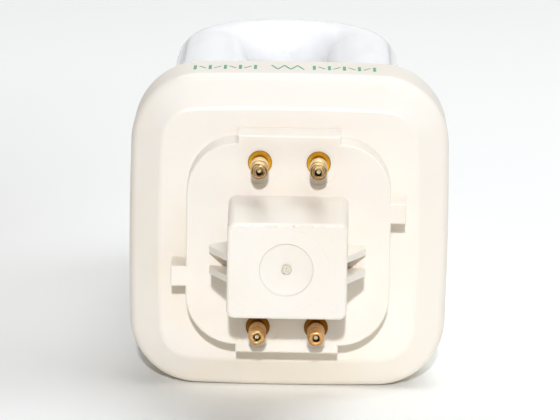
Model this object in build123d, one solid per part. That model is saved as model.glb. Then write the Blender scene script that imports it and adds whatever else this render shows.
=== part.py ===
from build123d import *
import math
import os

# A four-pin compact fluorescent lamp, lying on its side.
# Its axis runs along Y: the cap looks towards -Y, the glass points to +Y, and Z is up.
# The origin is the centre of the face that seats against a lampholder.
# Lengths are in millimetres. A depth is a distance along +Y, behind the seating face.

# Contact pins
pin_spacing_x = 8.0
pin_spacing_z = 23.0
pin_length = 6.6
pin_radius = 1.2
pin_neck_radius = 1.08
pin_neck_length = 1.3
pin_shoulder = 0.5
pin_tip_round = 0.42
pin_flange_radius = 1.64
pin_flange_thickness = 0.3
pin_mouth_radius = 0.5
pin_mouth_depth = 0.7
pin_bore_radius = 0.7
pin_rivet_radius = 1.7
pin_rivet_thickness = 0.5
pin_pocket_gap = 0.2
pin_fit = 0.02
pin_ring_radius = 3.0
pin_ring_width = 0.75
pin_ring_depth = 0.1

# Cap moulding
wall = 1.8
side_bow = 0.5
boss_width = 28.0
boss_over_pins = 2.6
boss_corner = 7.0
boss_edge = 0.18
front_depth = 6.1
front_corner = 4.6
bevel_width = 4.3
bevel_depth = 2.9
body_corner = 9.6
body_over_glass = 3.95
cap_depth = 17.0
front_crease_round = 1.0
outer_crease_round = 2.2

# Wide tabs over and under the boss, and narrow key tabs beside it
tab_over_pins = 3.05
tab_length = 1.1
key_tab_width = 2.8
key_tab_length = 2.1
key_tab_height = 4.6

# Hollow post in the middle of the cap, with a retaining barb on each side
post_height = 16.0
post_root_width = 16.4
post_root_height = 13.7
post_draft = 0.2
post_upper_draft = 0.45
post_lower_draft = 0.25
post_corner = 1.1
post_edge = 0.5
post_wall = 1.5
dish_radius = 3.48
dish_depth = 0.55
dish_shift = -0.08
dish_rise = 0.12
dish_step = 0.2
gate_mark_radius = 0.6
gate_mark_height = 0.3
barb_height = 3.8
barb_length = 2.3
barb_front_gap = 1.1
barb_tip_back = 8.4
barb_tip_length = 1.5
barb_back = 6.4
barb_root = 0.6
barb_web = 0.5
barb_pocket_height = 2.0

# Glass: three U-tubes in a row, one over another
tube_radius = 5.6
tube_gap = 0.4
leg_spacing = 23.3
glass_reach = 94.0
glass_offset = -1.0
leg_end_round = 2.6
bridge_radius = 3.0
pinch_width = 8.6
pinch_thickness = 2.6
pinch_edge = 1.0
pinch_length = 5.0
pinch_neck_radius = 4.5
tip_off_radius = 1.1
tip_off_length = 3.2
tip_off_round = 1.0

# Holder behind the cap, which the glass legs are cemented into
holder_depth = 6.3
holder_corner_round = 4.0
holder_skirt = 6.0
holder_skirt_wall = 1.2
skirt_gap = 0.1
slot_margin = 0.6
collar_height = 2.2
collar_wall = 1.3
bridge_clearance = 0.8
cement_recess = 0.4

# Lead wires from the electrodes to the pins
lead_radius = 0.28
lead_spacing = 3.6
lead_inset = 1.6
lead_layer = 1.5
lead_clearance = 0.6
lead_bend = 1.4
lead_in_pin = 0.55

# Fits and cutting allowances
seat_gap = 0.02
overshoot = 1.0

# Values worked out from the sizes above
boss_height = pin_spacing_z + 2 * boss_over_pins
tab_width = pin_spacing_x + 2 * tab_over_pins
tab_reach = boss_height / 2 + tab_length
key_tab_reach = boss_width / 2 + key_tab_length
barb_reach = post_root_width / 2 + barb_length
barb_front = post_height - barb_front_gap
barb_tip_front = barb_tip_back + barb_tip_length
tube_pitch = 2 * tube_radius + tube_gap
bend_radius = leg_spacing / 2
bend_depth = glass_reach - tube_radius - bend_radius
tube_heights = [tube_pitch, 0.0, -tube_pitch]
leg_sides = [glass_offset - leg_spacing / 2, glass_offset + leg_spacing / 2]
electrode_legs = [(leg_sides[0], tube_heights[0]), (leg_sides[1], tube_heights[2])]
pin_places = [
    (side * pin_spacing_x / 2, level * pin_spacing_z / 2) for level in (1, -1) for side in (-1, 1)
]
body_half = leg_spacing / 2 + tube_radius + abs(glass_offset) + body_over_glass
front_half = body_half - bevel_width
crease_depth = front_depth + bevel_depth
front_inside = front_depth + wall
pinch_end = front_inside + lead_clearance + lead_layer + lead_inset
leg_end_depth = pinch_end + pinch_length
post_front_width = post_root_width - 2 * post_draft
post_front_height = post_root_height - post_upper_draft - post_lower_draft
post_front_rise = (post_lower_draft - post_upper_draft) / 2
inner_half = body_half - wall
inner_corner = body_corner - wall
holder_back = cap_depth + holder_depth
collar_end = holder_back + collar_height
bridge_depth = collar_end + bridge_clearance + bridge_radius
slot_radius = tube_radius + slot_margin


def across(depth):
    """The plane across the lamp at a depth behind the seating face, facing the cap's front."""
    return Plane.XZ.offset(-depth)


def soft_square(half, bow, corner):
    """A square outline with rounded corners, whose sides bow out by `bow` to reach `half`."""
    edge = half - bow
    corners = [(-edge, -edge), (edge, -edge), (edge, edge), (-edge, edge)]
    crowns = [(0, -half), (half, 0), (0, half), (-half, 0)]
    sides = [
        ThreePointArc(corners[i], crowns[i], corners[(i + 1) % 4])
        for i in range(4)
    ]
    outline = make_face(sides)
    return fillet(outline.vertices(), corner)


def prism(sketch, front, back):
    """A sketch, drawn on the plane X-Z, carried straight from one depth to another."""
    return extrude(across(back) * sketch, back - front)


def frustum(front_sketch, front, back_sketch, back):
    """A straight-sided blend from one outline to another with as many edges."""
    return loft([across(front) * front_sketch, across(back) * back_sketch], ruled=True)


def at(x, z):
    """A place on a cross-section."""
    return Location((x, z))


def rod(start, end, radius):
    """A round rod from one point to another."""
    axis = Vector(end) - Vector(start)
    return extrude(Plane(Vector(start), z_dir=axis) * Circle(radius), axis.length)


def edges_at(solid, depth, reach):
    """The edges that lie at one depth, no further from the axis than `reach`."""
    found = []
    for edge in solid.edges():
        box = edge.bounding_box()
        level = abs(box.min.Y - depth) < 1e-4 and abs(box.max.Y - depth) < 1e-4
        near = max(-box.min.X, box.max.X, -box.min.Z, box.max.Z) < reach
        if level and near:
            found.append(edge)
    return found


def bevel_offset():
    """How far the bevel's inner face stands inside its outer one, measured across the lamp."""
    slope = bevel_width / bevel_depth
    return wall * math.sqrt(1 + slope * slope), slope


def boss_outline():
    """The boss with its wide tabs above and below and its key tabs at the sides."""
    outline = RectangleRounded(boss_width, boss_height, boss_corner)
    outline += Rectangle(tab_width, 2 * tab_reach)
    for side in (-1, 1):
        tab = Rectangle(key_tab_reach, key_tab_width)
        outline += at(side * key_tab_reach / 2, side * key_tab_height) * tab
    return outline


def housing_shell():
    """The bevelled outer skin of the cap, open at the back."""
    front = soft_square(front_half, side_bow, front_corner)
    body = soft_square(body_half, side_bow, body_corner)
    skin = frustum(front, front_depth, body, crease_depth)
    skin += prism(body, crease_depth, cap_depth)
    skin = fillet(edges_at(skin, crease_depth, 2 * body_half), outer_crease_round)
    skin = fillet(edges_at(skin, front_depth, 2 * body_half), front_crease_round)

    offset, slope = bevel_offset()
    inner_front = front_half + slope * wall - offset
    inner_crease = crease_depth + (offset - wall) / slope
    inside_front = soft_square(inner_front, side_bow, front_corner - wall / 2)
    inside_body = soft_square(inner_half, side_bow, inner_corner)
    cavity = frustum(inside_front, front_inside, inside_body, inner_crease)
    cavity += prism(inside_body, inner_crease, cap_depth)
    return skin - cavity


def barb_profile():
    """A barb seen from above: a lead-in ramp from the post's side, a short tip and a return ramp."""
    side = post_front_width / 2
    root = side - barb_root
    ramp = [(root, -barb_front), (side, -barb_front), (barb_reach, -barb_tip_front)]
    hook = [(barb_reach, -barb_tip_back), (root, -barb_back)]
    return make_face(Polyline(*ramp, *hook, close=True))


def barbs():
    """A barb on each side of the post, whose ramp is two ribs with a pocket between them."""
    block = extrude(Plane.XY.offset(-barb_height / 2) * barb_profile(), barb_height)
    side = post_front_width / 2
    gap = at(side + barb_reach, 0) * Rectangle(2 * barb_reach, barb_pocket_height)
    right = block - prism(gap, -post_height, -barb_tip_back - barb_web)
    return [right, mirror(right, Plane.YZ)]


def post():
    """The drafted post. Its front face has a shallow dish, a little off its middle, and a gate mark."""
    root = RectangleRounded(post_root_width, post_root_height, post_corner)
    front = at(0, post_front_rise) * RectangleRounded(post_front_width, post_front_height, post_corner)
    body = frustum(front, -post_height, root, 0)
    body = fillet(edges_at(body, -post_height, post_root_width), post_edge)
    body += prism(root, 0, wall)

    # The dish is a slice of a ball whose rim stands a small step below the face
    bowl = dish_depth - dish_step
    ball_radius = (dish_radius ** 2 + bowl ** 2) / (2 * bowl)
    rim_depth = -post_height + dish_step
    ball = Pos(dish_shift, rim_depth + bowl - ball_radius, dish_rise) * Sphere(ball_radius)
    rim = at(dish_shift, dish_rise) * Circle(dish_radius)
    body -= prism(rim, -post_height - overshoot, rim_depth)
    body -= ball & prism(rim, -post_height - ball_radius, -post_height + dish_depth)
    mark_seat = -post_height + dish_depth
    mark = at(dish_shift, dish_rise) * Circle(gate_mark_radius)
    return body + prism(mark, mark_seat - gate_mark_height, mark_seat + post_edge)


def base_cap():
    """The cap: housing, boss, tabs, post and barbs are one moulding."""
    cap = housing_shell()
    cap += prism(boss_outline(), 0, front_depth + wall / 2)
    cap = chamfer(edges_at(cap, 0, 2 * body_half), boss_edge)
    hollow = RectangleRounded(boss_width - 2 * wall, boss_height - 2 * wall, boss_corner - wall)
    cap -= prism(hollow, wall, front_inside + wall)
    cap += post()
    cap += barbs()
    core_width = post_front_width - 2 * post_wall
    core_height = post_front_height - 2 * post_wall
    core = at(0, post_front_rise) * RectangleRounded(core_width, core_height, post_corner / 2)
    cap -= prism(core, -post_height + post_wall + dish_depth, wall + overshoot)
    for x, z in pin_places:
        ring = Circle(pin_ring_radius) - Circle(pin_ring_radius - pin_ring_width)
        post_foot = Rectangle(post_root_width, post_root_height)
        hole = at(x, z) * Circle(pin_radius + pin_fit)
        pocket = at(x, z) * Circle(pin_rivet_radius + pin_pocket_gap)
        cap -= prism(at(x, z) * ring - post_foot, -overshoot, pin_ring_depth)
        cap -= prism(hole, -overshoot, front_depth)
        cap -= prism(pocket, wall, front_inside + overshoot)
    return cap


def contact_pin(x, z):
    """A hollow brass pin: flange outside, necked barrel, crimped mouth, riveted tail inside."""
    tip = -pin_length
    tail = wall + seat_gap + pin_rivet_thickness
    neck_end = -pin_neck_length
    barrel_start = neck_end - pin_shoulder
    outline = [
        (pin_bore_radius, tail),
        (pin_rivet_radius, tail),
        (pin_rivet_radius, wall + seat_gap),
        (pin_radius, wall + seat_gap),
        (pin_radius, -seat_gap),
        (pin_flange_radius, -seat_gap),
        (pin_flange_radius, -seat_gap - pin_flange_thickness),
        (pin_neck_radius, -seat_gap - pin_flange_thickness),
        (pin_neck_radius, neck_end),
        (pin_radius, barrel_start),
        (pin_radius, tip + pin_tip_round),
    ]
    shoulder = pin_radius - pin_tip_round
    middle = pin_tip_round * math.sqrt(0.5)
    rim = ThreePointArc(outline[-1], (shoulder + middle, tip + pin_tip_round - middle), (shoulder, tip))
    mouth = [
        (shoulder, tip),
        (pin_mouth_radius, tip + pin_tip_round / 2),
        (pin_mouth_radius, tip + pin_mouth_depth),
        (pin_bore_radius, tip + pin_mouth_depth + pin_bore_radius),
        (pin_bore_radius, tail),
    ]
    section = make_face(Polyline(*outline).edges() + [rim] + Polyline(*mouth).edges())
    return Pos(x, 0, z) * revolve(section, Axis.Y)


def lead_wire(pin_place, leg_place, side):
    """A lead from the mouth of a pin, through its bore and across the cap to a glass leg."""
    x, z = pin_place
    leg_x, leg_z = leg_place
    # The lead from the nearer pin runs one layer below the other, so they pass without touching
    layer = lead_layer if x * leg_x > 0 else 0
    turn = pinch_end - lead_inset - layer
    end_x = leg_x + side * lead_spacing / 2
    start = (x, -pin_length + lead_in_pin, z)
    corner = (x, turn, z)
    drop = (end_x, turn, leg_z)
    end = (end_x, pinch_end - seat_gap, leg_z)
    path = FilletPolyline(start, corner, drop, end, radius=lead_bend)
    return sweep(Plane(path @ 0, z_dir=path % 0) * Circle(lead_radius), path)


def u_tube(height):
    """One U-tube: two straight legs and the half ring that joins them."""
    left, right = leg_sides
    legs = [
        prism(at(side, height) * Circle(tube_radius), leg_end_depth, bend_depth)
        for side in (left, right)
    ]
    centre = Vector(glass_offset, bend_depth, height)
    section = across(bend_depth) * at(right, height) * Circle(tube_radius)
    bend = revolve(section, Axis(centre, (0, 0, 1)), 180)
    return legs[0] + legs[1] + bend


def pinch_seal(x, z):
    """The flattened glass end that the leads come out of."""
    flat = at(x, z) * RectangleRounded(pinch_width, pinch_thickness, pinch_edge)
    blade = prism(flat, pinch_end, leg_end_depth + overshoot)
    throat = across(pinch_end + pinch_length / 2) * at(x, z) * Circle(pinch_thickness / 2)
    neck = across(leg_end_depth) * at(x, z) * Circle(pinch_neck_radius)
    # The neck is sunk into the leg by the radius of the leg's rounded end
    root = across(leg_end_depth + leg_end_round) * at(x, z) * Circle(pinch_neck_radius)
    return blade + loft([throat, neck], ruled=True) + loft([neck, root], ruled=True)


def discharge_tube():
    """The sealed, coated glass: three U-tubes joined near the holder into one long tube."""
    glass = None
    for height in tube_heights:
        tube = u_tube(height)
        tube = fillet(edges_at(tube, leg_end_depth, 2 * body_half), leg_end_round)
        glass = tube if glass is None else glass + tube
    left, right = leg_sides
    top, middle, bottom = tube_heights
    glass += rod((right, bridge_depth, top), (right, bridge_depth, middle), bridge_radius)
    glass += rod((left, bridge_depth, middle), (left, bridge_depth, bottom), bridge_radius)
    for x, z in electrode_legs:
        glass += pinch_seal(x, z)
    tip_off_depth = leg_end_depth - tip_off_length
    for x in leg_sides:
        tip_off = prism(at(x, 0) * Circle(tip_off_radius), tip_off_depth, leg_end_depth + overshoot)
        glass += fillet(edges_at(tip_off, tip_off_depth, 2 * body_half), tip_off_round)
    return glass


def leg_slot(x, radius):
    """The tall opening that one column of legs passes through."""
    return at(x, 0) * SlotCenterToCenter(2 * tube_pitch, 2 * radius, rotation=90)


def tube_holder():
    """The rear moulding: a skirt inside the cap, a rounded shoulder and two collars."""
    body = soft_square(body_half, side_bow, body_corner)
    shoulder = prism(body, cap_depth, holder_back)
    shoulder = fillet(edges_at(shoulder, holder_back, 2 * body_half), holder_corner_round)
    skirt_half = inner_half - skirt_gap
    skirt_outline = soft_square(skirt_half, side_bow, inner_corner - skirt_gap)
    holder = shoulder + prism(skirt_outline, cap_depth - holder_skirt, cap_depth)
    inside_half = skirt_half - holder_skirt_wall
    inside = soft_square(inside_half, side_bow, inner_corner - skirt_gap - holder_skirt_wall)
    holder -= prism(inside, cap_depth - holder_skirt, holder_back - wall)
    for x in leg_sides:
        holder += prism(leg_slot(x, slot_radius + collar_wall), holder_back - wall, collar_end)
    for x in leg_sides:
        holder -= prism(leg_slot(x, slot_radius), holder_back - 2 * wall, collar_end + overshoot)
    return holder


def leg_cement():
    """The cement that fills both slots round the legs."""
    front = holder_back - wall
    fillings = []
    for x in leg_sides:
        filling = prism(leg_slot(x, slot_radius), front, collar_end - cement_recess)
        for height in tube_heights:
            filling -= prism(at(x, height) * Circle(tube_radius), front - overshoot, collar_end)
        fillings += filling.solids()
    return Compound(children=fillings)


def main():
    os.makedirs("parts", exist_ok=True)
    nodes = {
        "base_cap": base_cap(),
        "tube_holder": tube_holder(),
        "leg_cement": leg_cement(),
        "discharge_tube": discharge_tube(),
    }
    pin_names = ["upper_left", "upper_right", "lower_left", "lower_right"]
    for index, (name, place) in enumerate(zip(pin_names, pin_places)):
        leg = electrode_legs[index // 2]
        side = 1 if index % 2 else -1
        nodes["contact_pin_" + name] = contact_pin(*place)
        nodes["lead_wire_" + name] = lead_wire(place, leg, side)
    for name, shape in nodes.items():
        export_step(shape, "parts/" + name + ".step")
        print(name, round(shape.volume, 1), "cubic mm,", len(shape.solids()), "solids")


main()
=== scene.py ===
# %% [markdown]
# # A four-pin compact fluorescent lamp
# The lamp lies on its side with its cap towards us and its folded glass tubes behind.
# Every solid piece comes from the fixed model, so this file dresses it: it gives each surface its
# finish, and adds the small things that the solid model leaves out, which are the pinched ends of
# the pins, the torn gate mark and the printed row.
# %% The fixed frame
import bpy
import math
from mathutils import Matrix, Vector


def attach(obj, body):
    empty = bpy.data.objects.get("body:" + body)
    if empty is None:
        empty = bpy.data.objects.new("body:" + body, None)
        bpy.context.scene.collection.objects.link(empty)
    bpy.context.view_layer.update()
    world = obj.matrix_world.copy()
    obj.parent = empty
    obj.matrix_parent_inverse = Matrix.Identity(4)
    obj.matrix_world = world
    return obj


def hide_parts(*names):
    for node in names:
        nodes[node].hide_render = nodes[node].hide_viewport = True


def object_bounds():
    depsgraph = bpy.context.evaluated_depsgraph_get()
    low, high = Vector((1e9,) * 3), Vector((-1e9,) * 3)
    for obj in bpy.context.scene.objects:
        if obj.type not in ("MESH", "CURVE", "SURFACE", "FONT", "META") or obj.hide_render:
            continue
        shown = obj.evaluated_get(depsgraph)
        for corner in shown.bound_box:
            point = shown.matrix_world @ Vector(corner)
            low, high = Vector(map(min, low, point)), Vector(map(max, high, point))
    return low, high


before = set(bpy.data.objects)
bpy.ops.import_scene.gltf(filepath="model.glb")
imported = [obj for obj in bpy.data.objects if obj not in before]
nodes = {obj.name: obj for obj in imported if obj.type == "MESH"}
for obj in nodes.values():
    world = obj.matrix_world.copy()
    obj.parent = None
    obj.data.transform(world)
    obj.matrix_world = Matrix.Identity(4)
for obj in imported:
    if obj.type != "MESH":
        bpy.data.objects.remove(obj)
cad_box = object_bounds()
MM = 0.001


def mm(*values):
    """A place given in millimetres, as the lamp is measured, in the scene's metres."""
    return Vector(values) * MM


print("nodes:", sorted(nodes))
print("model box in mm:", [[round(value / MM, 2) for value in corner] for corner in cad_box])

# %% [markdown]
# ## The camera
# The photograph was taken with a long lens from a little above, so the cap looks almost square
# and its top wall is a thin band. Three angles aim the camera: it looks along the lamp, tips down
# by twelve degrees, and leans by less than one. Writing them as angles keeps them easy to change.
# %% The camera
camera_place = Vector((0.00297, -0.49955, 0.11041))
camera_swing = math.radians(-0.475)
camera_tip = math.radians(11.926)
camera_lean = math.radians(0.854)
camera_lens = 240.34
sensor_width = 36.0
clip_range = (0.01, 20.0)

camera_data = bpy.data.cameras.new("camera")
camera_data.sensor_fit = "HORIZONTAL"
camera_data.sensor_width = sensor_width
camera_data.lens = camera_lens
camera_data.clip_start, camera_data.clip_end = clip_range
camera = bpy.data.objects.new("camera", camera_data)
bpy.context.scene.collection.objects.link(camera)
swing = Matrix.Rotation(-camera_swing, 4, "Z")
tip = Matrix.Rotation(math.pi / 2 - camera_tip, 4, "X")
lean = Matrix.Rotation(camera_lean, 4, "Z")
camera.matrix_world = Matrix.Translation(camera_place) @ swing @ tip @ lean
bpy.context.scene.camera = camera
bpy.context.scene.view_settings.view_transform = "Standard"
print("camera", round(camera_place.length / MM), "mm from the seating face")

# %% [markdown]
# ## A small language for finishes
# A finish is a chain of shader nodes. Wiring them one by one is long and hard to read, so a socket
# is wrapped in a class whose plus, minus, times and power add Math nodes. A mask is then a line of
# arithmetic, such as one minus another mask.
# %% Sockets that take arithmetic


class Value:
    """A shader socket. Arithmetic on it adds one Math node and returns that node's socket."""

    def __init__(self, recipe, socket):
        self.recipe = recipe
        self.socket = socket

    def math(self, operation, first, second=0.0):
        return self.recipe.node("ShaderNodeMath", {"operation": operation}, {0: first, 1: second})

    def __add__(self, other):
        return self.math("ADD", self, other)

    def __radd__(self, other):
        return self.math("ADD", other, self)

    def __sub__(self, other):
        return self.math("SUBTRACT", self, other)

    def __rsub__(self, other):
        return self.math("SUBTRACT", other, self)

    def __mul__(self, other):
        return self.math("MULTIPLY", self, other)

    def __rmul__(self, other):
        return self.math("MULTIPLY", other, self)

    def __pow__(self, other):
        return self.math("POWER", self, other)

    def __rpow__(self, other):
        return self.math("POWER", other, self)

    def __abs__(self):
        return self.math("ABSOLUTE", self)


print("a socket takes + - * ** and abs, with a number on either side")

# %% [markdown]
# ## The words of the language
# One method makes every node: its settings first, then its inputs. The methods after it are the
# few words that all the finishes share: a place in millimetres, a soft step, a line, a noise, a
# stretch, a mix of two colours, and a distance. A Mix node keeps sockets for every kind of data,
# and several have the same name, so those of a colour are picked by their number.
# %% Trees of nodes
mix_amount, mix_first, mix_second = 0, 6, 7
mixed_colour = 2


class Recipe:
    """A node tree being written, for one finish or for the air of the studio."""

    def __init__(self, tree):
        self.tree = tree

    def node(self, kind, settings=None, inputs=None, outputs=(0,)):
        """A node with its settings, then its inputs. It gives back one value, or one for each output."""
        made = self.tree.nodes.new(kind)
        for name, setting in (settings or {}).items():
            setattr(made, name, setting)
        for key, value in (inputs or {}).items():
            self.feed(value, made.inputs[key])
        values = [Value(self, made.outputs[key]) for key in outputs]
        return values if len(values) > 1 else values[0]

    def feed(self, value, socket):
        """Links a value to a socket, or sets the socket where the value is plain."""
        if isinstance(value, Value):
            self.tree.links.new(value.socket, socket)
        elif socket.type == "RGBA":
            socket.default_value = (*value, 1.0)
        else:
            socket.default_value = value

    def place(self):
        """Object coordinates in millimetres: the same frame as the lamp's own sizes."""
        metres = self.node("ShaderNodeTexCoord", outputs=("Object",))
        return self.node("ShaderNodeVectorMath", {"operation": "SCALE"}, {0: metres, "Scale": 1 / MM})

    def axes(self, vector):
        """The three parts of a vector."""
        return self.node("ShaderNodeSeparateXYZ", None, {0: vector}, (0, 1, 2))

    def rise(self, value, start, end):
        """0 below `start`, 1 above `end`, and a soft step between."""
        settings = {"interpolation_type": "SMOOTHSTEP"}
        inputs = {"Value": value, "From Min": start, "From Max": end}
        return self.node("ShaderNodeMapRange", settings, inputs)

    def band(self, value, centre, half_width, softness):
        """1 on a line `half_width` to each side of a centre value, and 0 away from it."""
        return 1.0 - self.rise(abs(value - centre), half_width, half_width + softness)

    def noise(self, vector, size, detail=2.0, roughness=0.5):
        """Even noise from 0 to 1 whose blotches are about `size` millimetres across."""
        inputs = {"Vector": vector, "Scale": 1 / size, "Detail": detail, "Roughness": roughness}
        return self.node("ShaderNodeTexNoise", None, inputs)

    def stretch(self, vector, x, y, z):
        """A pattern's coordinates, squeezed or stretched along the lamp's axes."""
        inputs = {"Vector": vector, "Scale": (x, y, z)}
        return self.node("ShaderNodeMapping", {"vector_type": "POINT"}, inputs)

    def mix(self, amount, first, second):
        """One colour turned into another."""
        inputs = {mix_amount: amount, mix_first: first, mix_second: second}
        return self.node("ShaderNodeMix", {"data_type": "RGBA"}, inputs, (mixed_colour,))

    def distance(self, across, up, centre_x, centre_z):
        """How far a point is from a line along the lamp's axis."""
        return ((across - centre_x) ** 2.0 + (up - centre_z) ** 2.0) ** 0.5


print("a recipe knows", [name for name in vars(Recipe) if not name.startswith("__")])

# %% [markdown]
# ## A finish and its colours
# A finish is a material whose one shader is fed by such a tree. What is the same all over a surface
# is set on the shader's own socket, and only colour, roughness and relief vary. A shader takes
# linear light, so the colours, which are easier to pick in the usual steps, are turned into it.
# %% A finish and its colours


class Finish(Recipe):
    """A material with one principled shader."""

    def __init__(self, name, **constants):
        self.material = bpy.data.materials.new(name)
        self.material.use_nodes = True
        super().__init__(self.material.node_tree)
        self.shader = self.tree.nodes["Principled BSDF"]
        for key, value in constants.items():
            self.set(key.replace("_", " ").title(), value)

    def set(self, socket, value):
        self.feed(value, self.shader.inputs[socket])

    def relief(self, height, depth):
        """A height from 0 to 1, read as `depth` millimetres of relief in the surface."""
        self.set("Normal", self.node("ShaderNodeBump", None, {"Height": height, "Distance": depth * MM}))


def srgb(red, green, blue):
    """A colour given in the usual 0 to 255 steps, as the linear values a shader takes."""
    parts = [value / 255 for value in (red, green, blue)]
    return tuple(part / 12.92 if part <= 0.04045 else ((part + 0.055) / 1.055) ** 2.4 for part in parts)


print("warm white in linear steps:", [round(value, 3) for value in srgb(244, 239, 229)])

# %% [markdown]
# ## Moulded plastic
# The cap and the tube holder are one warm white plastic with a fine satin skin. Up close such a
# skin has three scales: slow waves where the melt cooled, a fine spark texture from the steel mould,
# and a rare dark speck. Colour, roughness and relief all read the same noises, so they agree.
# %% Moulded plastic
plastic_white = srgb(239, 230, 216)
plastic_cream = srgb(237, 226, 208)
speck_brown = srgb(150, 130, 100)
cloud_size = 14.0
wave_size = 5.0
spark_size = 0.22
speck_spacing = 3.0
speck_lot = (0.955, 0.96)
speck_radii = (0.02, 0.035)
skin_depth = 0.1


def moulded_plastic(name):
    """The plastic's finish, the place that its patterns read, and the height of its skin."""
    skin = Finish(name, subsurface_weight=0.2, subsurface_scale=0.0008)
    skin.set("Subsurface Radius", (1.0, 0.7, 0.4))
    place = skin.place()
    clouds = skin.noise(place, cloud_size)
    spark = skin.noise(place, spark_size, 3.0)
    waves = skin.noise(place, wave_size, 1.0)
    colour = skin.mix(skin.rise(clouds, 0.35, 0.75), plastic_white, plastic_cream)
    cells = {"Vector": place, "Scale": 1 / speck_spacing}
    reach, lot = skin.node("ShaderNodeTexVoronoi", None, cells, ("Distance", "Color"))
    chosen = skin.rise(skin.axes(lot)[0], *speck_lot)
    speck = (1.0 - skin.rise(reach, *speck_radii)) * chosen
    skin.set("Base Color", skin.mix(speck, colour, speck_brown))
    skin.set("Roughness", 0.3 + 0.1 * spark + 0.05 * clouds)
    return skin, place, spark * 0.012 + waves * 0.2


def plain_plastic(name):
    """The plastic with nothing but its own skin."""
    skin, place, height = moulded_plastic(name)
    skin.relief(height, skin_depth)
    return skin.material


holder_plastic = plain_plastic("holder_plastic")
print("made", holder_plastic.name)

# %% [markdown]
# ## Marks of the mould on the cap
# The face of the post carries a faint witness ring, four ejector marks, the rim of its dish, and
# small nicks along its top edge. These are hundredths of a millimetre deep, so they belong in the
# relief of the finish. Each mark is a thin band, round a radius or along an edge.
# %% The cap's own plastic
post_face = -16.0
post_top_edge = 6.1
witness_radius = 5.5
witness_width = 0.06
ejector_radius = 0.55
ejector_places = [(-6.2, -5.2), (6.2, -5.2), (-6.2, 5.2), (6.2, 5.2)]
dish_radius = 3.48
dish_centre = (-0.08, 0.12)
line_width = 0.04
line_softness = 0.08
edge_width = 0.12
nick_size = 0.7
witness_height = 0.12
ejector_height = 0.15
rim_height = 0.9
nick_height = 0.8


def cap_plastic():
    """The plastic of the cap, with the marks of its mould cut into the face of the post."""
    skin, place, height = moulded_plastic("cap_plastic")
    x, y, z = skin.axes(place)
    on_face = 1.0 - skin.rise(y, post_face + 0.05, post_face + 0.1)
    ring = skin.band(skin.distance(x, z, 0.0, 0.0), witness_radius, witness_width, 0.12)
    marks = ring * witness_height
    for centre in ejector_places:
        ejected = skin.band(skin.distance(x, z, *centre), ejector_radius, line_width, line_softness)
        marks = marks + ejected * ejector_height
    nicked = skin.rise(skin.noise(skin.stretch(place, 1.0, 1.0, 3.0), nick_size, 3.0), 0.56, 0.6)
    marks = marks + skin.band(z, post_top_edge, edge_width, 0.1) * nicked * nick_height
    rim = skin.band(skin.distance(x, z, *dish_centre), dish_radius, line_width, line_softness)
    marks = marks + rim * rim_height
    skin.relief(height - marks * on_face, skin_depth)
    return skin.material


cap_skin = cap_plastic()
print("made", cap_skin.name)

# %% [markdown]
# ## Coated glass
# The tube is clear glass with a white powder coating inside. From outside that reads as a chalky
# white under a hard, clear gloss, so the shader is a rough white base below a sharp coat. The
# powder runs down the tube before it is baked, which leaves faint streaks along each leg.
# %% Coated glass
powder_white = srgb(246, 243, 239)
powder_thin = srgb(238, 235, 231)
streak_width = 2.4
streak_stretch = 0.08
powder_cloud_size = 9.0
streak_depth = 0.01


def coated_glass():
    """Chalky powder under clear, glossy glass."""
    glass = Finish("coated_glass", coat_weight=0.7, coat_roughness=0.06, subsurface_weight=1.0)
    glass.set("Subsurface Scale", 0.01)
    glass.set("Subsurface Radius", (1.0, 1.0, 1.0))
    glass.set("Specular IOR Level", 0.2)
    place = glass.place()
    streaks = glass.noise(glass.stretch(place, 1.0, streak_stretch, 1.0), streak_width, 2.0)
    clouds = glass.noise(place, powder_cloud_size)
    thin = glass.rise(0.6 * streaks + 0.4 * clouds, 0.4, 0.7)
    glass.set("Base Color", glass.mix(thin, powder_white, powder_thin))
    glass.set("Roughness", 0.5 + 0.2 * clouds)
    glass.relief(streaks, streak_depth)
    return glass.material


glass_skin = coated_glass()
print("made", glass_skin.name)

# %% [markdown]
# ## Drawn brass
# The pins are drawn brass: warm, bright, and finely scored round and round by the tool. One finish
# serves all four, because it reads how deep a point lies along the lamp and how far it is from the
# axis of the nearest pin. That tells the flange, the barrel, the crease across it, the dome and the
# mouth apart. The lower pins stand in the shade of the post, so their brass is painted warmer and
# darker as painted shade, with fainter crease lines and darker flanges. The ends of the pins, the rim
# and root of each flange and the inside of each mouth are painted darker as painted shade too.
# %% Drawn brass
pin_spacing_x = 8.0
pin_spacing_z = 23.0
brass_pale = srgb(240, 220, 172)
brass_deep = srgb(206, 170, 112)
shaded_brass_warm = srgb(222, 158, 84)
flange_gold = srgb(234, 178, 52)
flange_painted_shade = srgb(140, 98, 26)
tip_painted_shade = srgb(176, 152, 104)
mouth_painted_shade = srgb(48, 36, 22)
crease_and_shade_brown = srgb(128, 76, 32)
stain_size = 0.9
lower_to_upper = (-1.0, 1.0)
flange_depths = (-2.19, -2.15)
flange_edge_radii = (1.44, 1.64)
flange_root_radii = (0.95, 1.25)
tip_depths = (-6.35, -5.6)
mouth_depths = (-6.5, -6.35)
mouth_radii = (0.5, 0.56)
crease_depth = -5.15
crease_width = 0.28
dome_depths = (-6.1, -6.0)
dome_creases = (1.0, 0.72)
score_depth = 0.06


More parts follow.
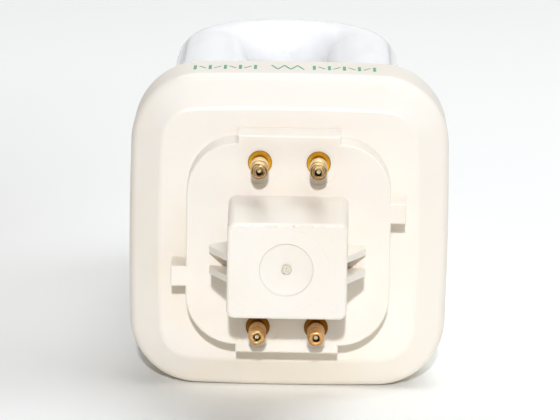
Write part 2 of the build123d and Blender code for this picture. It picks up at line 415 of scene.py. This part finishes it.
def drawn_brass():
    """Brass that changes with depth along the pin and with distance from the pin's axis."""
    brass = Finish("pin_brass", metallic=1.0)
    place = brass.place()
    x, y, z = brass.axes(place)
    off_axis = brass.distance(abs(x), abs(z), pin_spacing_x / 2, pin_spacing_z / 2)
    upper = brass.rise(z, *lower_to_upper)
    stain = brass.noise(place, stain_size, 3.0)
    barrel = brass.mix(brass.rise(stain, 0.35, 0.75), brass_pale, brass_deep)
    # Painted shade: the barrels of the lower pins, in the post's shade, are turned warmer and darker.
    barrel = brass.mix((1.0 - upper) * 0.6, barrel, shaded_brass_warm)
    # Painted shade: the end of each pin is turned tan, more on the upper pins than on the lower.
    tip_shade = (1.0 - brass.rise(y, *tip_depths)) * (0.15 + 0.6 * upper)
    barrel = brass.mix(tip_shade, barrel, tip_painted_shade)

    sway = brass.noise(place, stain_size, 1.0) - 0.5
    # The crease lines are drawn fainter on the lower pins, which stand in the post's shade.
    creased = brass.band(y + sway, crease_depth, crease_width, 0.15) * (0.25 + 0.75 * upper)
    on_dome = (1.0 - brass.rise(y, *dome_depths)) * (0.35 + 0.65 * upper)
    for radius in dome_creases:
        creased = creased + brass.band(off_axis + sway * 0.5, radius, 0.02, 0.07) * on_dome
    patches = brass.rise(brass.noise(brass.stretch(place, 1.0, 2.0, 1.0), 0.5, 2.0), 0.56, 0.62) * 0.3
    barrel = brass.mix(creased * 0.9 + patches, barrel, crease_and_shade_brown)

    # Painted shade: the flange is darker at its rim and at its root against the neck.
    at_edge = brass.rise(off_axis, *flange_edge_radii)
    at_root = 1.0 - brass.rise(off_axis, *flange_root_radii)
    flange = brass.mix(at_edge + at_root, flange_gold, flange_painted_shade)
    # Painted shade: the flanges of the lower pins are darker still, in the post's shade.
    flange = brass.mix((1.0 - upper) * 0.75, flange, crease_and_shade_brown)
    on_flange = brass.rise(y, *flange_depths)
    # Painted shade: the inside of each mouth is painted near black.
    in_mouth = (1.0 - brass.rise(off_axis, *mouth_radii)) * brass.rise(y, *mouth_depths)
    metal = brass.mix(on_flange, barrel, flange)
    brass.set("Base Color", brass.mix(in_mouth, metal, mouth_painted_shade))

    scores = brass.noise(brass.stretch(place, 0.15, 6.0, 0.15), 0.5, 1.0)
    brass.set("Roughness", 0.34 + 0.14 * stain + on_flange * 0.14)
    brass.relief(scores * 0.2 - patches - creased * 0.6, score_depth)
    return brass.material


brass_skin = drawn_brass()
print("made", brass_skin.name)

# %% [markdown]
# ## Tinned wire and cement
# The lead wires are tinned, duller than the brass, and stained warm where they come through the
# pins. The cement that holds the glass legs is a dry mineral paste, matt, grainy and lumpy.
# %% Tinned wire and cement
tin_grey = srgb(226, 200, 154)
tin_dull = srgb(176, 160, 126)
cement_pale = srgb(226, 222, 212)
cement_dark = srgb(196, 190, 176)
grain_size = 0.5
lump_size = 2.5
cement_depth = 0.45


def tinned_wire():
    """A dull, stained metal."""
    tin = Finish("lead_metal", metallic=1.0)
    stain = tin.noise(tin.place(), 0.5, 2.0)
    tin.set("Base Color", tin.mix(stain, tin_grey, tin_dull))
    tin.set("Roughness", 0.25 + 0.2 * stain)
    return tin.material


def mineral_cement():
    """A matt paste with fine grain over soft lumps."""
    paste = Finish("cement")
    place = paste.place()
    grain = paste.noise(place, grain_size, 4.0, 0.7)
    lumps = paste.noise(place, lump_size, 2.0)
    paste.set("Base Color", paste.mix(paste.rise(grain, 0.35, 0.7), cement_pale, cement_dark))
    paste.set("Roughness", 0.8 + 0.15 * grain)
    paste.relief(grain * 0.3 + lumps, cement_depth)
    return paste.material


tin_skin = tinned_wire()
cement_skin = mineral_cement()
print("made", tin_skin.name, cement_skin.name)

# %% [markdown]
# ## Dressing the solid model
# The solid pieces keep their meshes. Each gets its finish by its name, and the pins and the lead
# wires, which come in fours, get theirs in a loop.
# %% Dressing the solid model
finish_of_node = {
    "base_cap": cap_skin,
    "tube_holder": holder_plastic,
    "leg_cement": cement_skin,
    "discharge_tube": glass_skin,
}
pin_names = ["upper_left", "upper_right", "lower_left", "lower_right"]
for name in pin_names:
    finish_of_node["contact_pin_" + name] = brass_skin
    finish_of_node["lead_wire_" + name] = tin_skin
for name, finish in finish_of_node.items():
    mesh = nodes[name].data
    mesh.materials.clear()
    mesh.materials.append(finish)
print("dressed", len(finish_of_node), "nodes")

# %% [markdown]
# ## The stage
# A pale sweep lies under the lamp. In the photograph it is greyer beside the lamp at the left and
# far behind it. The lights throw no shadow there, so that grey is painted into the sweep's own
# finish: a painted shadow of the lamp at the left and painted shade far behind. The painted shadow
# fades out towards the camera, to the right and into the distance.
# %% The floor
floor_white = srgb(254, 253, 247)
floor_painted_shade = srgb(226, 222, 215)
floor_size = 12.0
floor_level = cad_box[0][2]
far_shade = 0.15
left_shade = 0.9
uneven_shade = 0.06
bpy.ops.object.select_all(action="DESELECT")
bpy.ops.mesh.primitive_plane_add(size=floor_size, location=(0, 0, floor_level))
floor = bpy.context.object
floor.name = "floor"
sweep = Finish("floor_sweep", roughness=0.7)
sweep_place = sweep.place()
sweep_x, sweep_y = sweep.axes(sweep_place)[:2]
far_away = sweep.rise(sweep_y, 60.0, 520.0)
at_left = 1.0 - sweep.rise(sweep_x, -70.0, 0.0)
beside_lamp = sweep.rise(sweep_y, -30.0, 10.0) * (1.0 - sweep.rise(sweep_y, 30.0, 300.0))
uneven = sweep.noise(sweep_place, 60.0)
# Painted shade far behind, a painted shadow of the lamp beside it at the left, and an uneven tone.
shade = far_away * far_shade + at_left * beside_lamp * left_shade + uneven * uneven_shade
sweep.set("Base Color", sweep.mix(shade, floor_white, floor_painted_shade))
floor.data.materials.append(sweep.material)
print("floor at", round(floor_level / MM, 2), "mm")

# %% [markdown]
# ## The lights
# The main light is a small bright source high behind the camera: it throws short, fairly crisp
# shadows straight down the cap. A large box above, a little to the right, lights the top faces, a
# box behind lights the glass, and two weak boxes at the sides soften the rest.
# %% The key light and the soft boxes
key_direction = Vector((0.0, -1.0, 0.43))
key_strength = 2.19
key_tint = (1.0, 1.045, 1.16)
key_softness = math.radians(2.0)
box_size = 0.5
soft_boxes = {
    "back_box": ((0.0, 0.45, 0.6), 1.5, (1.0, 1.0, 1.0)),
    "top_box": ((0.2, -0.02, 0.62), 2.14, (1.0, 1.06, 1.14)),
    "right_box": ((0.75, 0.3, 0.55), 0.7, (1.0, 1.01, 1.0)),
    "left_box": ((-0.75, 0.0, 0.45), 0.25, (1.0, 1.01, 1.0)),
}


def lamp(name, kind, place, **settings):
    """A light that looks at the middle of the cap from its place."""
    data = bpy.data.lights.new(name, kind)
    for key, value in settings.items():
        setattr(data, key, value)
    made = bpy.data.objects.new(name, data)
    bpy.context.scene.collection.objects.link(made)
    made.location = place
    made.rotation_euler = Vector(place).to_track_quat("Z", "Y").to_euler()
    return made


lamp("key_light", "SUN", key_direction, energy=key_strength, angle=key_softness, color=key_tint)
for name, (place, power, tint) in soft_boxes.items():
    lamp(name, "AREA", place, energy=power, size=box_size, color=tint)
print("lit by one sun and", len(soft_boxes), "soft boxes")

# %% [markdown]
# ## The air of the studio
# The camera sees a plain pale backdrop. Brass and glass mirror that backdrop too, and a darker room
# behind the camera, which is what gives metal its contrast. For all other light the air is almost
# black, so it fills the shadows only a little.
# %% The air of the studio
air_tint = (1.0, 0.97, 0.82)
air_level = 0.018
backdrop_white = srgb(243, 242, 242)
room_dark = srgb(62, 56, 48)
room_span = (0.35, 0.9)


def studio_air():
    """Faint light for the surfaces, and a pale backdrop for the camera and for reflections."""
    world = bpy.data.worlds.new("studio_air")
    bpy.context.scene.world = world
    world.use_nodes = True
    air = Recipe(world.node_tree)
    background = world.node_tree.nodes["Background"]
    direction = air.node("ShaderNodeTexCoord", outputs=("Generated",))
    towards_room = air.rise(0.0 - air.axes(direction)[1], *room_span)
    reflected = air.mix(towards_room, backdrop_white, room_dark)
    rays = ("Is Glossy Ray", "Is Transmission Ray", "Is Camera Ray")
    glossy, through, to_camera = air.node("ShaderNodeLightPath", outputs=rays)
    lit = air.mix(glossy + through, tuple(air_level * part for part in air_tint), reflected)
    air.feed(air.mix(to_camera, lit, backdrop_white), background.inputs["Color"])
    background.inputs["Strength"].default_value = 1.0
    return world


print("filled with", studio_air().name)

# %% [markdown]
# ## Turned pieces
# A lathe makes a pin by cutting one radius after another along its axis. The same thing is done
# here with a ring of edges: it is extruded to the next depth and resized to the next radius, until
# the outline is complete.
# %% Helpers for a new piece


def select_only(piece):
    """Selects one piece and nothing else, as an operator acts on all that is selected."""
    bpy.ops.object.select_all(action="DESELECT")
    piece.select_set(True)
    bpy.context.view_layer.objects.active = piece


def settle():
    """Moves the place, turn and size of the selected pieces into their meshes."""
    bpy.ops.object.transform_apply(location=True, rotation=True, scale=True)


def smooth(piece, degrees=35):
    """Shades a piece smoothly, apart from its sharper edges."""
    select_only(piece)
    bpy.ops.object.shade_smooth_by_angle(angle=math.radians(degrees))


def finished(piece, material):
    """Gives a piece its finish and its place on the lamp."""
    piece.data.materials.clear()
    piece.data.materials.append(material)
    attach(piece, "root")


# %% Turned pieces
turned_sides = 48
weld_distance = 1e-6


def turned(name, centre, outline):
    """A ring drawn along the lamp's axis through (depth, radius) stations."""
    x, z = centre
    depth, radius = outline[0]
    facing = (math.pi / 2, 0, 0)
    bpy.ops.object.select_all(action="DESELECT")
    bpy.ops.mesh.primitive_circle_add(
        vertices=turned_sides, radius=radius * MM, location=mm(x, depth, z), rotation=facing
    )
    piece = bpy.context.object
    piece.name = name
    settle()
    bpy.ops.object.mode_set(mode="EDIT")
    bpy.ops.mesh.select_all(action="SELECT")
    for next_depth, next_radius in outline[1:]:
        step = (next_depth - depth) * MM
        bpy.ops.mesh.extrude_region_move(TRANSFORM_OT_translate={"value": (0, step, 0)})
        ratio = next_radius / radius
        pivot = mm(x, next_depth, z)
        bpy.ops.transform.resize(value=(ratio, 1, ratio), center_override=pivot)
        depth, radius = next_depth, next_radius
    bpy.ops.mesh.select_all(action="SELECT")
    bpy.ops.mesh.remove_doubles(threshold=weld_distance)
    bpy.ops.mesh.normals_make_consistent(inside=False)
    bpy.ops.mesh.select_all(action="DESELECT")
    bpy.ops.object.mode_set(mode="OBJECT")
    return piece


print("a turned piece has", turned_sides, "sides")

# %% [markdown]
# ## The contact pins
# Each pin is a thin brass tube: a flat flange against the cap, a narrow root, a barrel with a
# creased groove across it, and a rounded end pinched round the lead wire. The outline runs from the
# riveted tail inside the cap, over the outside to the mouth, and back through the bore.
# %% The outline of a pin
pin_radius = 1.2
pin_bore = 0.7
root_radius = 0.85
pin_outline = [
    (2.32, pin_bore), (2.32, 1.7), (1.82, 1.7), (1.82, pin_radius),
    (-0.02, pin_radius), (-0.02, 1.58), (-0.06, 1.64), (-0.24, 1.64), (-0.32, 1.57),
    (-0.32, 1.48), (-0.25, 1.34), (-0.25, root_radius), (-2.1, root_radius), (-2.14, 1.05),
    (-2.2, 1.15), (-2.32, pin_radius), (-4.0, pin_radius), (-4.9, pin_radius), (-5.0, 1.19),
    (-5.06, 1.13), (-5.2, 1.13), (-5.26, 1.18), (-5.4, pin_radius), (-5.85, pin_radius),
    (-6.1, 1.17), (-6.32, 1.1), (-6.48, 1.0), (-6.57, 0.88), (-6.6, 0.74), (-6.57, 0.62),
    (-6.48, 0.52), (-6.3, 0.45), (-6.0, 0.42), (-5.4, 0.5), (-4.9, pin_bore), (2.32, pin_bore),
]
pin_places = [
    (side * pin_spacing_x / 2, level * pin_spacing_z / 2) for level in (1, -1) for side in (-1, 1)
]
print("a pin stands", -min(depth for depth, radius in pin_outline), "mm out of the cap")

# %% [markdown]
# ## The pinch
# A tool with four jaws pinches the end of the pin, never quite the same way twice. So each vertex
# near the mouth is drawn towards the axis where it lies on one of four sides, most at the bore and
# least at the outer skin, and the mouth sags off the middle. The groove behind it gets a wavy run.
# %% The pinch
pinch_start = -5.6
pinch_end = -6.4
pinch_sides = 4
pinch_half_angle = math.radians(30)
skin_spared = 0.75
skin_start = 0.8
skin_reach = 0.4
wave_middle = -5.0
wave_reach = 1.0
wave_height = 0.22


def clamped(value):
    """A share kept between nothing and all."""
    return min(max(value, 0.0), 1.0)


def pinched(vertex, centre, turn, squeeze, sag):
    """A vertex drawn towards the pin's axis near a side, and moved with the mouth's own centre."""
    x, z = centre
    away = vertex.co - mm(x, 0, z)
    depth = vertex.co.y / MM
    outwards = math.hypot(away.x, away.z) / MM
    angle = math.atan2(away.z, away.x) - turn
    sector = 2 * math.pi / pinch_sides
    off_side = abs((angle + sector / 2) % sector - sector / 2) / pinch_half_angle
    forward = clamped((pinch_start - depth) / (pinch_start - pinch_end))
    share = max(0.0, 1.0 - off_side ** 2) * forward
    share *= 1.0 - skin_spared * clamped((outwards - skin_start) / skin_reach)
    ratio = 1.0 - (1.0 - squeeze) * share
    near_wave = max(0.0, 1.0 - ((depth - wave_middle) / wave_reach) ** 2)
    wave = math.sin(2 * angle) + 0.6 * math.sin(5 * angle + 1.0)
    wavy = vertex.co.y + near_wave * wave * wave_height * MM
    drawn_in = Vector((x * MM + away.x * ratio, wavy, z * MM + away.z * ratio))
    return drawn_in + mm(sag[0], 0, sag[1]) * forward * max(0.0, 1.0 - outwards)


print("the pinch runs from", pinch_start, "to", pinch_end, "mm, on", pinch_sides, "sides")

# %% The contact pins
pinch_turns = [0.35, 0.1, 0.6, 0.2]
pinch_squeezes = [0.84, 0.88, 0.86, 0.9]
mouth_sags = [(0.12, -0.28), (-0.1, -0.24), (0.0, 0.04), (0.1, -0.04)]
pinches = zip(pin_names, pin_places, pinch_turns, pinch_squeezes, mouth_sags)
for name, centre, turn, squeeze, sag in pinches:
    pin = turned("crimped_pin_" + name, centre, pin_outline)
    for vertex in pin.data.vertices:
        vertex.co = pinched(vertex, centre, turn, squeeze, sag)
    smooth(pin)
    finished(pin, brass_skin)
    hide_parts("contact_pin_" + name)
print("pins at", pin_places)

# %% [markdown]
# ## The ends of the leads
# In the mouth of each pin shows the cut end of its lead, a little off the middle. It starts as a
# ball, is pulled out to a blunt tip, and its back half is drawn back along the wire.
# %% The lead ends
lead_end_radius = 0.14
lead_end_stretch = (1.0, 1.6, 0.8)
lead_end_reach = 0.6
just_behind = 0.01
lead_end_depths = [-6.2, -5.6, -6.2, -6.0]
lead_end_offsets = [(0.26, -0.12), (0.16, -0.16), (-0.18, -0.2), (-0.02, -0.24)]
lead_ends = zip(pin_names, pin_places, lead_end_depths, lead_end_offsets)
for name, (x, z), depth, (off_x, off_z) in lead_ends:
    place = mm(x + off_x, depth, z + off_z)
    bpy.ops.mesh.primitive_uv_sphere_add(
        segments=20, ring_count=12, radius=lead_end_radius * MM, location=place
    )
    lead_end = bpy.context.object
    lead_end.name = "lead_end_" + name
    bpy.ops.transform.resize(value=lead_end_stretch)
    settle()
    for vertex in lead_end.data.vertices:
        if vertex.co.y > place.y + just_behind * MM:
            vertex.co.y += lead_end_reach * MM
    smooth(lead_end)
    finished(lead_end, tin_skin)
print("lead ends", lead_end_radius * 2, "mm across")

# %% [markdown]
# ## The gate mark
# Plastic enters the mould through a small gate in the middle of the dish. Where it was snapped off
# it leaves a torn stub, yellower than the skin, with a brown fleck. It is a ball flattened along the
# lamp's axis and roughened at random, always in the same way.
# %% Torn plastic
gate_radius = 0.68
gate_yellow = srgb(240, 228, 196)
gate_brown = srgb(150, 128, 92)
fleck_offset = (-0.4, -0.52)
fleck_radius = 0.1
strand_size = 0.35
strand_depth = 0.12


def torn_plastic():
    """The broken inside of the plastic, in pale and yellow strands, browner at its rim."""
    torn = Finish("torn_plastic", roughness=0.45, subsurface_weight=0.3, subsurface_scale=0.0008)
    place = torn.place()
    x, _, z = torn.axes(place)
    strands = torn.rise(torn.noise(place, strand_size, 3.0), 0.4, 0.65)
    colour = torn.mix(strands, plastic_cream, gate_yellow)
    at_rim = torn.rise(torn.distance(x, z, *dish_centre), gate_radius - 0.14, gate_radius - 0.02)
    fleck_x, fleck_z = (centre + offset for centre, offset in zip(dish_centre, fleck_offset))
    from_fleck = torn.distance(x, z, fleck_x, fleck_z)
    in_fleck = 1.0 - torn.rise(from_fleck, fleck_radius, fleck_radius + 0.08)
    torn.set("Base Color", torn.mix(at_rim * 0.22 + in_fleck, colour, gate_brown))
    torn.relief(strands, strand_depth)
    return torn.material


gate_skin = torn_plastic()
print("made", gate_skin.name)

# %% The gate mark
gate_depth = post_face + 0.3
gate_flatness = 0.5
gate_roughness = 0.08
stub_place = mm(dish_centre[0], gate_depth, dish_centre[1])
bpy.ops.mesh.primitive_ico_sphere_add(subdivisions=4, radius=gate_radius * MM, location=stub_place)
gate_stub = bpy.context.object
gate_stub.name = "gate_stub"
bpy.ops.transform.resize(value=(1.0, gate_flatness, 1.0))
settle()
bpy.ops.object.mode_set(mode="EDIT")
bpy.ops.mesh.select_all(action="SELECT")
bpy.ops.transform.vertex_random(offset=gate_roughness * MM, seed=3)
bpy.ops.object.mode_set(mode="OBJECT")
smooth(gate_stub, 60)
finished(gate_stub, gate_skin)
print("gate stub at", gate_depth, "mm")

# %% [markdown]
# ## A printed row on the top wall
# A line of green ink runs across the top of the cap. It is a plain row of bars, slanting strokes
# and a zigzag. Every stroke is a flat strip, and a shrinkwrap modifier lays the row on the wall.
# %% Printing ink
ink_green = srgb(40, 136, 84)
ink_faded = srgb(92, 178, 132)
wear_size = 0.5


def printing_ink():
    """Green ink, paler and rougher where it is worn."""
    ink = Finish("printing_ink")
    wear = ink.rise(ink.noise(ink.place(), wear_size, 3.0), 0.45, 0.7)
    ink.set("Base Color", ink.mix(wear, ink_green, ink_faded))
    ink.set("Roughness", 0.45 + 0.2 * wear)
    return ink.material


ink_skin = printing_ink()
print("made", ink_skin.name)

# %% The strokes of the row
left_bars = [-13.4, -11.3, -9.2, -7.1, -5.0]
right_bars = [3.2, 5.3, 7.4, 9.5, 11.6]
zigzag_start = -2.75
zigzag_strokes = 5
zigzag_pitch = 0.9
row_depth = 14.4
row_height = 3.2
row_front, row_back = row_depth - row_height / 2, row_depth + row_height / 2
bar_width = 0.42
stroke_width = 0.26
slant_offset = 1.05
slant_reach = 0.45
slant_inset = 0.8
above_wall = 24.0


def strip(start, end, width):
    """A flat strip of ink between two places on the wall, hanging over it."""
    start, end = Vector(start), Vector(end)
    along = end - start
    middle = (start + end) / 2
    bpy.ops.mesh.primitive_grid_add(
        x_subdivisions=2, y_subdivisions=6, size=MM, location=mm(middle.x, middle.y, above_wall),
        rotation=(0, 0, math.atan2(-along.x, along.y))
    )
    made = bpy.context.object
    made.scale = (width, along.length, 1)
    return made


def row_strips():
    """Bars to the left and right of a zigzag, with slanting strokes between the bars."""
    made = []
    for bars in (left_bars, right_bars):
        for step, x in enumerate(bars):
            made.append(strip((x, row_front), (x, row_back), bar_width))
            if step + 1 < len(bars):
                middle = x + slant_offset
                slant = slant_reach if step % 2 else -slant_reach
                start = (middle - slant, row_front + slant_inset)
                end = (middle + slant, row_back - slant_inset)
                made.append(strip(start, end, stroke_width))
    for step in range(zigzag_strokes):
        x = zigzag_start + step * zigzag_pitch
        near, far = (row_front, row_back) if step % 2 else (row_back, row_front)
        made.append(strip((x, near), (x + zigzag_pitch, far), stroke_width))
    return made


strips = row_strips()
print("cut", len(strips), "strips of ink")

# %% The printed row
ink_thickness = 0.02
bpy.ops.object.select_all(action="DESELECT")
for piece in strips:
    piece.select_set(True)
bpy.context.view_layer.objects.active = strips[0]
bpy.ops.object.join()
printed_row = bpy.context.object
printed_row.name = "printed_row"
settle()
wrap = printed_row.modifiers.new("wrap", "SHRINKWRAP")
wrap.target = nodes["base_cap"]
wrap.wrap_method = "PROJECT"
wrap.use_project_z = True
wrap.use_positive_direction = False
wrap.use_negative_direction = True
wrap.offset = ink_thickness * MM
solid = printed_row.modifiers.new("thickness", "SOLIDIFY")
solid.thickness = ink_thickness * MM
for modifier in ("wrap", "thickness"):
    bpy.ops.object.modifier_apply(modifier=modifier)
finished(printed_row, ink_skin)
ink_top = max(vertex.co.z for vertex in printed_row.data.vertices)
print("printed row at", round(ink_top / MM, 3), "mm")
